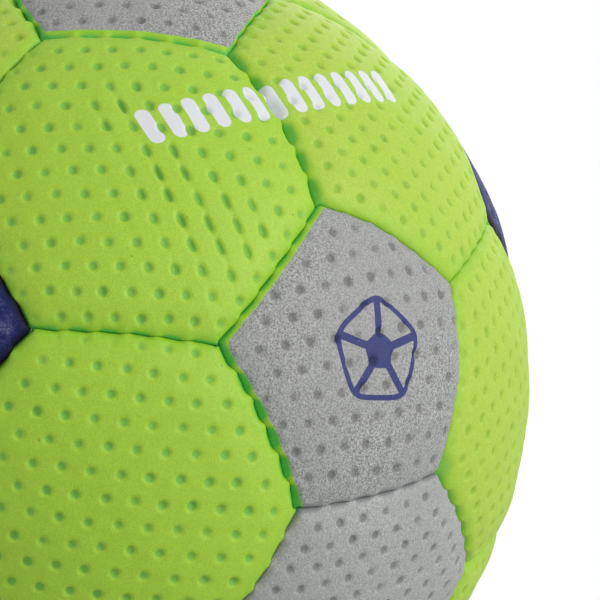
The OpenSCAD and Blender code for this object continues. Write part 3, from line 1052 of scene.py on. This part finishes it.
SKINS = {
    "lime": foamed_skin("lime_foamed_skin"),
    "grey": foamed_skin("grey_coated_skin", coat=GREY),
    "navy": foamed_skin("navy_coated_skin", coat=NAVY),
}
LIME_WITH_BARS = foamed_skin("lime_skin_with_bar_print", marks=bar_row)
PRINTED = {
    "hexagon_panel_01": LIME_WITH_BARS,
    "hexagon_panel_05": LIME_WITH_BARS,
    "pentagon_panel_01": foamed_skin("grey_skin_with_ring_print", coat=GREY, marks=badge),
}
PANELS = [
    (f"pentagon_panel_{i + 1:02d}", 5, pentagon_turn(i), PENTAGON_KINDS.get(i, "navy"))
    for i in range(12)
] + [
    (f"hexagon_panel_{i + 1:02d}", 6, hexagon_turn(i), HEXAGON_KINDS.get(i, "lime"))
    for i in range(20)
]


def sides_of(number):
    """For each side of a panel: how far its coat stays off it, how wide the seam gapes, and how far round
    its rolled edge it stays free of the painted seam shade.
    """
    name, sides, turn, kind = PANELS[number]
    insets, openness, light = [], [], []
    for middle in side_axes(sides)[2]:
        nearness = [turn @ middle @ other_turn[:, 2] for _, _, other_turn, _ in PANELS]
        nearness[number] = -1
        beside, _, _, beside_kind = PANELS[int(np.argmax(nearness))]
        usual = COAT_OVERLAP if beside_kind == kind else COAT_INSET
        insets.append(COAT_INSETS.get((name, beside), usual))
        openness.append(OPENNESS.get(tuple(sorted((name, beside))), 1.0))
        light.append(SHADE_FREE_SEAMS.get((name, beside), SHADE_FREE_EDGE.get(name, 0.0)))
    return np.array(insets), np.array(openness), np.array(light)


for number, (name, sides, turn, kind) in enumerate(PANELS):
    panel = make_panel(name, sides, turn, *sides_of(number), seed=FIRST_SEED + number)
    panel.data.materials.append(PRINTED.get(name, SKINS[kind]))
    if name == VALVE_PANEL:
        cut_valve_hole(panel)

INSIDE = (
    (dark_rubber("valve_rubber"), ("valve_housing", "valve_plug")),
    (latex("bladder_latex"), ("bladder", "valve_patch")),
    (waxed_thread("waxed_thread"), ("pentagon_seam_threads", "hexagon_seam_threads")),
    (
        lining_cloth("lining_cloth"),
        ("pentagon_linings", *(f"hexagon_lining_{i + 1:02d}" for i in range(20))),
    ),
)
for finish, names in INSIDE:
    for name in names:
        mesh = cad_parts[name].data
        mesh.materials.clear()
        mesh.materials.append(finish)

# ---------------------------------------------------------------- floor, light and camera

FLOOR_R = 2.4
CAMERA_PLACE = Vector((-0.51281, -0.70840, -0.03288))
CAMERA_WAY = Vector((0.623633, 0.779825, 0.054369))
CAMERA_TILT = math.radians(-0.496)
CAMERA_LENS = 264.0
CAMERA_NEAR = 0.01

# Lamps: metres ahead of the ball as the camera looks, to the right and up; the size and the watts
LAMPS = {
    "key_lamp": ((-0.85, 1.5, 0.6), 0.6, 17),
    "top_lamp": ((-0.1, 0.2, 1.8), 1.2, 3),
    "left_lamp": ((-0.8, -1.4, 0.5), 1.2, 4),
    "back_lamp": ((1.6, 0.4, 0.9), 1.2, 7),
}

# How strong the white room is as a light, and where it is seen or mirrored
ROOM_LIGHT = 0.36
ROOM_SEEN = 1.0


def matt(name, tone):
    """A matt finish with faint clouds."""
    paper = Finish(name, roughness=0.9, specular_ior_level=0.1)
    paper.set("Base Color", paper.mix(paper.noise(400), tone, scaled(tone, 0.985)))
    return paper.material


bm = bmesh.new()
bmesh.ops.create_circle(bm, cap_ends=True, segments=ROUND_SEGMENTS, radius=FLOOR_R)
bmesh.ops.translate(bm, verts=bm.verts, vec=(0, 0, cad_box[0][2]))
floor_mesh = bpy.data.meshes.new("floor")
bm.to_mesh(floor_mesh)
bm.free()
floor_mesh.materials.append(matt("pale_floor", colour(232, 233, 235)))
floor = bpy.data.objects.new("floor", floor_mesh)
bpy.context.scene.collection.objects.link(floor)


def softbox(name, place, size, watts):
    """A square area lamp that points at the ball."""
    lamp = bpy.data.lights.new(name, "AREA")
    lamp.shape = "SQUARE"
    lamp.size = size
    lamp.energy = watts
    box = bpy.data.objects.new(name, lamp)
    box.location = place
    box.rotation_euler = (-place).to_track_quat("-Z", "Y").to_euler()
    bpy.context.scene.collection.objects.link(box)


camera_right = CAMERA_WAY.cross(Vector((0, 0, 1))).normalized()
for name, ((ahead, right, up), size, watts) in LAMPS.items():
    softbox(name, CAMERA_WAY * ahead + camera_right * right + Vector((0, 0, up)), size, watts)

world = bpy.data.worlds.new("studio")
bpy.context.scene.world = world
world.use_nodes = True
nodes, links = world.node_tree.nodes, world.node_tree.links
nodes.clear()
path = nodes.new("ShaderNodeLightPath")
seen = path.outputs["Is Camera Ray"]
for ray in ("Is Glossy Ray", "Is Transmission Ray"):
    either = nodes.new("ShaderNodeMath")
    either.operation = "MAXIMUM"
    links.new(seen, either.inputs[0])
    links.new(path.outputs[ray], either.inputs[1])
    seen = either.outputs[0]
blend = nodes.new("ShaderNodeMixShader")
links.new(seen, blend.inputs[0])
for number, strength in enumerate((ROOM_LIGHT, ROOM_SEEN), 1):
    background = nodes.new("ShaderNodeBackground")
    background.inputs["Color"].default_value = (1, 1, 1, 1)
    background.inputs["Strength"].default_value = strength
    links.new(background.outputs[0], blend.inputs[number])
links.new(blend.outputs[0], nodes.new("ShaderNodeOutputWorld").inputs["Surface"])

lens = bpy.data.cameras.new("photo_camera")
lens.lens = CAMERA_LENS
lens.clip_start = CAMERA_NEAR
camera = bpy.data.objects.new("photo_camera", lens)
camera.location = CAMERA_PLACE
upright = CAMERA_WAY.to_track_quat("-Z", "Y").to_matrix()
camera.rotation_euler = (upright @ Matrix.Rotation(CAMERA_TILT, 3, "Z")).to_euler()
bpy.context.scene.collection.objects.link(camera)
bpy.context.scene.camera = camera
bpy.context.scene.view_settings.view_transform = "Standard"
